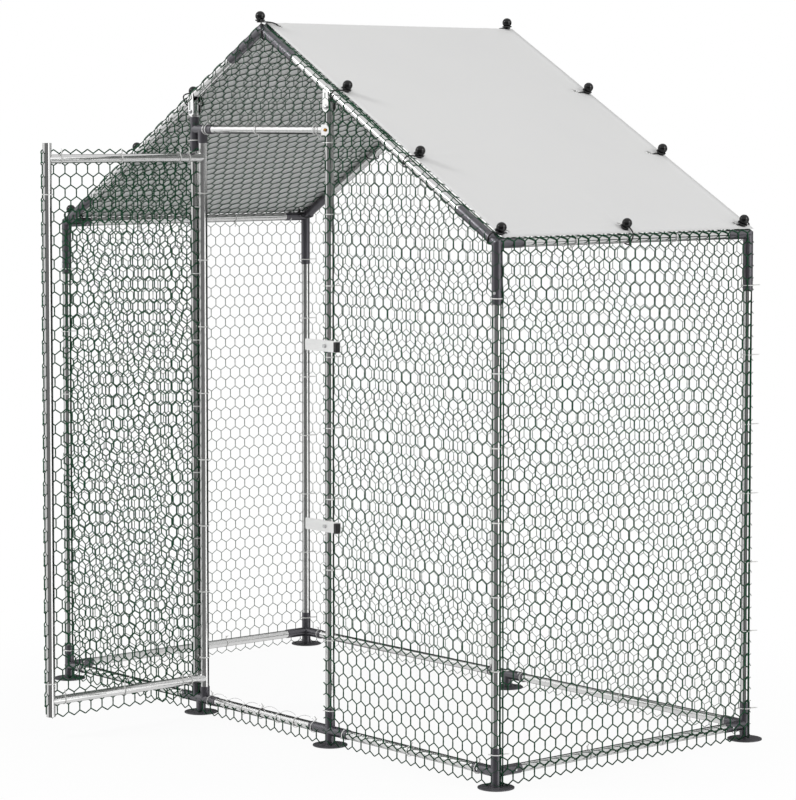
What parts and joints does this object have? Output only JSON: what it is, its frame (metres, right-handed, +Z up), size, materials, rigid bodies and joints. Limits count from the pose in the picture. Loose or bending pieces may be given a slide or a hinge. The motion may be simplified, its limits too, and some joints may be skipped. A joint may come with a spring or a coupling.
{
  "type": "metal chicken coop",
  "caption": "Walk-in poultry run: gabled frame of plug-together steel tube with hexagonal wire net, a hinged net door, turn latches and a cloth roof cover tied with ball bungees.",
  "frame": {"origin": "on the ground, in the middle of the box that the coop fills with its door open", "axes": "+X along the wide front wall towards the latch side, +Y from the door wall to the rear wall, +Z up"},
  "size_m": [2.098, 1.5543, 2.0629],
  "materials": {
    "galvanised_tube": "galvanised, satin",
    "connector_paint": "dark grey powder coat",
    "foot_plate_steel": "galvanised, satin",
    "wire_net": "dark green coated wire",
    "cover_cloth": "light grey coated cloth",
    "ball_plastic": "gloss black",
    "cord_rubber": "black elastic cord",
    "zinc_sheet": "bright zinc",
    "grip_plastic": "black",
    "zinc_bolt": "yellow zinc"
  },
  "bodies": {
    "frame": {"bungee_balls": "ball_plastic", "bungee_cords": "cord_rubber", "corner_foot_connector_front_left": "connector_paint", "corner_foot_connector_front_right": "connector_paint", "corner_foot_connector_rear_left": "connector_paint", "corner_foot_connector_rear_right": "connector_paint", "corner_post_front_left": "galvanised_tube", "corner_post_front_right": "galvanised_tube", "corner_post_rear_left": "galvanised_tube", "corner_post_rear_right": "galvanised_tube", "door_foot_connector_left": "connector_paint", "door_foot_connector_right": "connector_paint", "door_header": "galvanised_tube", "door_post_left": "galvanised_tube", "door_post_right": "galvanised_tube", "door_sill_rail": "galvanised_tube", "eave_connector_front_left": "connector_paint", "eave_connector_front_right": "connector_paint", "eave_connector_rear_left": "connector_paint", "eave_connector_rear_right": "connector_paint", "eave_rail_left": "galvanised_tube", "eave_rail_right": "galvanised_tube", "foot_plates": "foot_plate_steel", "front_mesh_gable": "wire_net", "front_mesh_left": "wire_net", "front_mesh_right": "wire_net", "front_rail_left": "galvanised_tube", "front_rail_right": "galvanised_tube", "hinge_header_connector": "connector_paint", "latch_bolts": "zinc_bolt", "rafter_front_left": "galvanised_tube", "rafter_front_right": "galvanised_tube", "rafter_rear_left": "galvanised_tube", "rafter_rear_right": "galvanised_tube", "rafter_strap_left": "zinc_sheet", "rafter_strap_right": "zinc_sheet", "rear_foot_connector": "connector_paint", "rear_mesh": "wire_net", "rear_rail_left": "galvanised_tube", "rear_rail_right": "galvanised_tube", "ridge_connector_front": "connector_paint", "ridge_connector_rear": "connector_paint", "ridge_pole": "galvanised_tube", "roof_cover": "cover_cloth", "roof_mesh_left": "wire_net", "roof_mesh_right": "wire_net", "side_mesh_left": "wire_net", "side_mesh_right": "wire_net", "side_rail_left": "galvanised_tube", "side_rail_right": "galvanised_tube", "sill_mesh": "wire_net"},
    "door": {"door_hinge_stile": "galvanised_tube", "door_free_stile": "galvanised_tube", "door_top_rail": "galvanised_tube", "door_bottom_rail": "galvanised_tube", "door_mesh": "wire_net"},
    "latch_upper": {"latch_plate_upper": "zinc_sheet", "latch_grip_upper": "grip_plastic"},
    "latch_lower": {"latch_plate_lower": "zinc_sheet", "latch_grip_lower": "grip_plastic"}
  },
  "joints": [
    {"name": "door_hinge", "type": "hinge", "parent": "frame", "child": "door", "pos_m": [-0.285, -0.22175, 0.9], "axis": [0, 0, 1], "range_deg": [-40, 90]},
    {"name": "latch_upper_turn", "type": "hinge", "parent": "frame", "child": "latch_upper", "pos_m": [0.305, -0.22175, 1.126], "axis": [0, -1, 0], "continuous": true},
    {"name": "latch_lower_turn", "type": "hinge", "parent": "frame", "child": "latch_lower", "pos_m": [0.305, -0.22175, 0.621], "axis": [0, -1, 0], "continuous": true}
  ]
}
